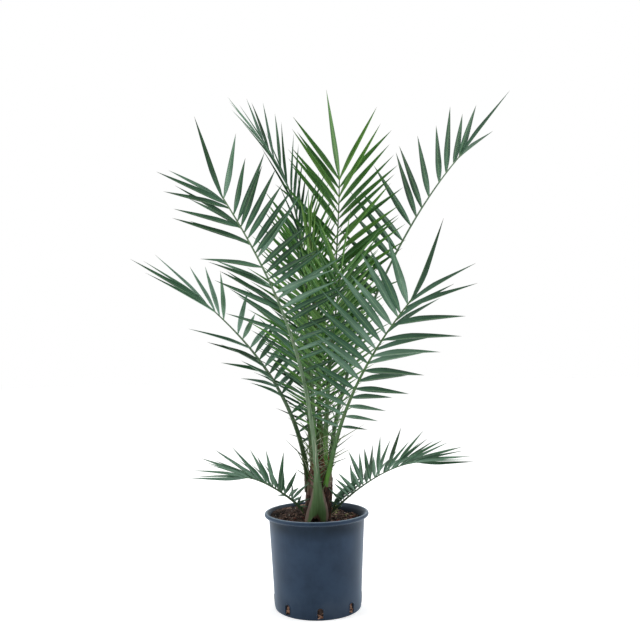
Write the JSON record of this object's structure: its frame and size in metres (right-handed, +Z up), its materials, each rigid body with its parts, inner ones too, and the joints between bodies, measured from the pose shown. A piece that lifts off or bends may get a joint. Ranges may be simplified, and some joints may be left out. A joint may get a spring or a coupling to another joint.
{
  "type": "potted canary island date palm",
  "caption": "Young feather palm with arching fronds of stiff pointed leaflets on a short fibrous bulb, in a tapered plastic nursery pot.",
  "frame": {"origin": "centre of the pot's flat underside, on the surface that the pot stands on", "axes": "+Z is up, from the pot to the crown's tip, +X is the plant's right as the picture shows it, and +Y is away from that view"},
  "size_m": [0.9181, 0.8125, 1.2518],
  "materials": {
    "pot": "satin slate blue plastic",
    "soil": "moist bark and peat mix",
    "trunk": "dry brown leaf fibre",
    "frond": "waxy blue-green leaf",
    "young_frond": "waxy grass-green leaf"
  },
  "bodies": {
    "root": {"pot": "pot", "pottingSoil": "soil", "trunk": "trunk", "frondFrontLeft": "frond", "frondFrontRight": "frond", "frondLeft": "frond", "frondBackLeft": "frond", "frondCentre": "young_frond", "frondRight": "frond", "frondLowRight": "frond", "frondLowLeft": "frond", "frondInnerLeft": "young_frond", "frondInnerRight": "young_frond", "frondBack": "frond", "frondBackLow": "frond", "spearLeaf": "young_frond"}
  },
  "joints": []
}
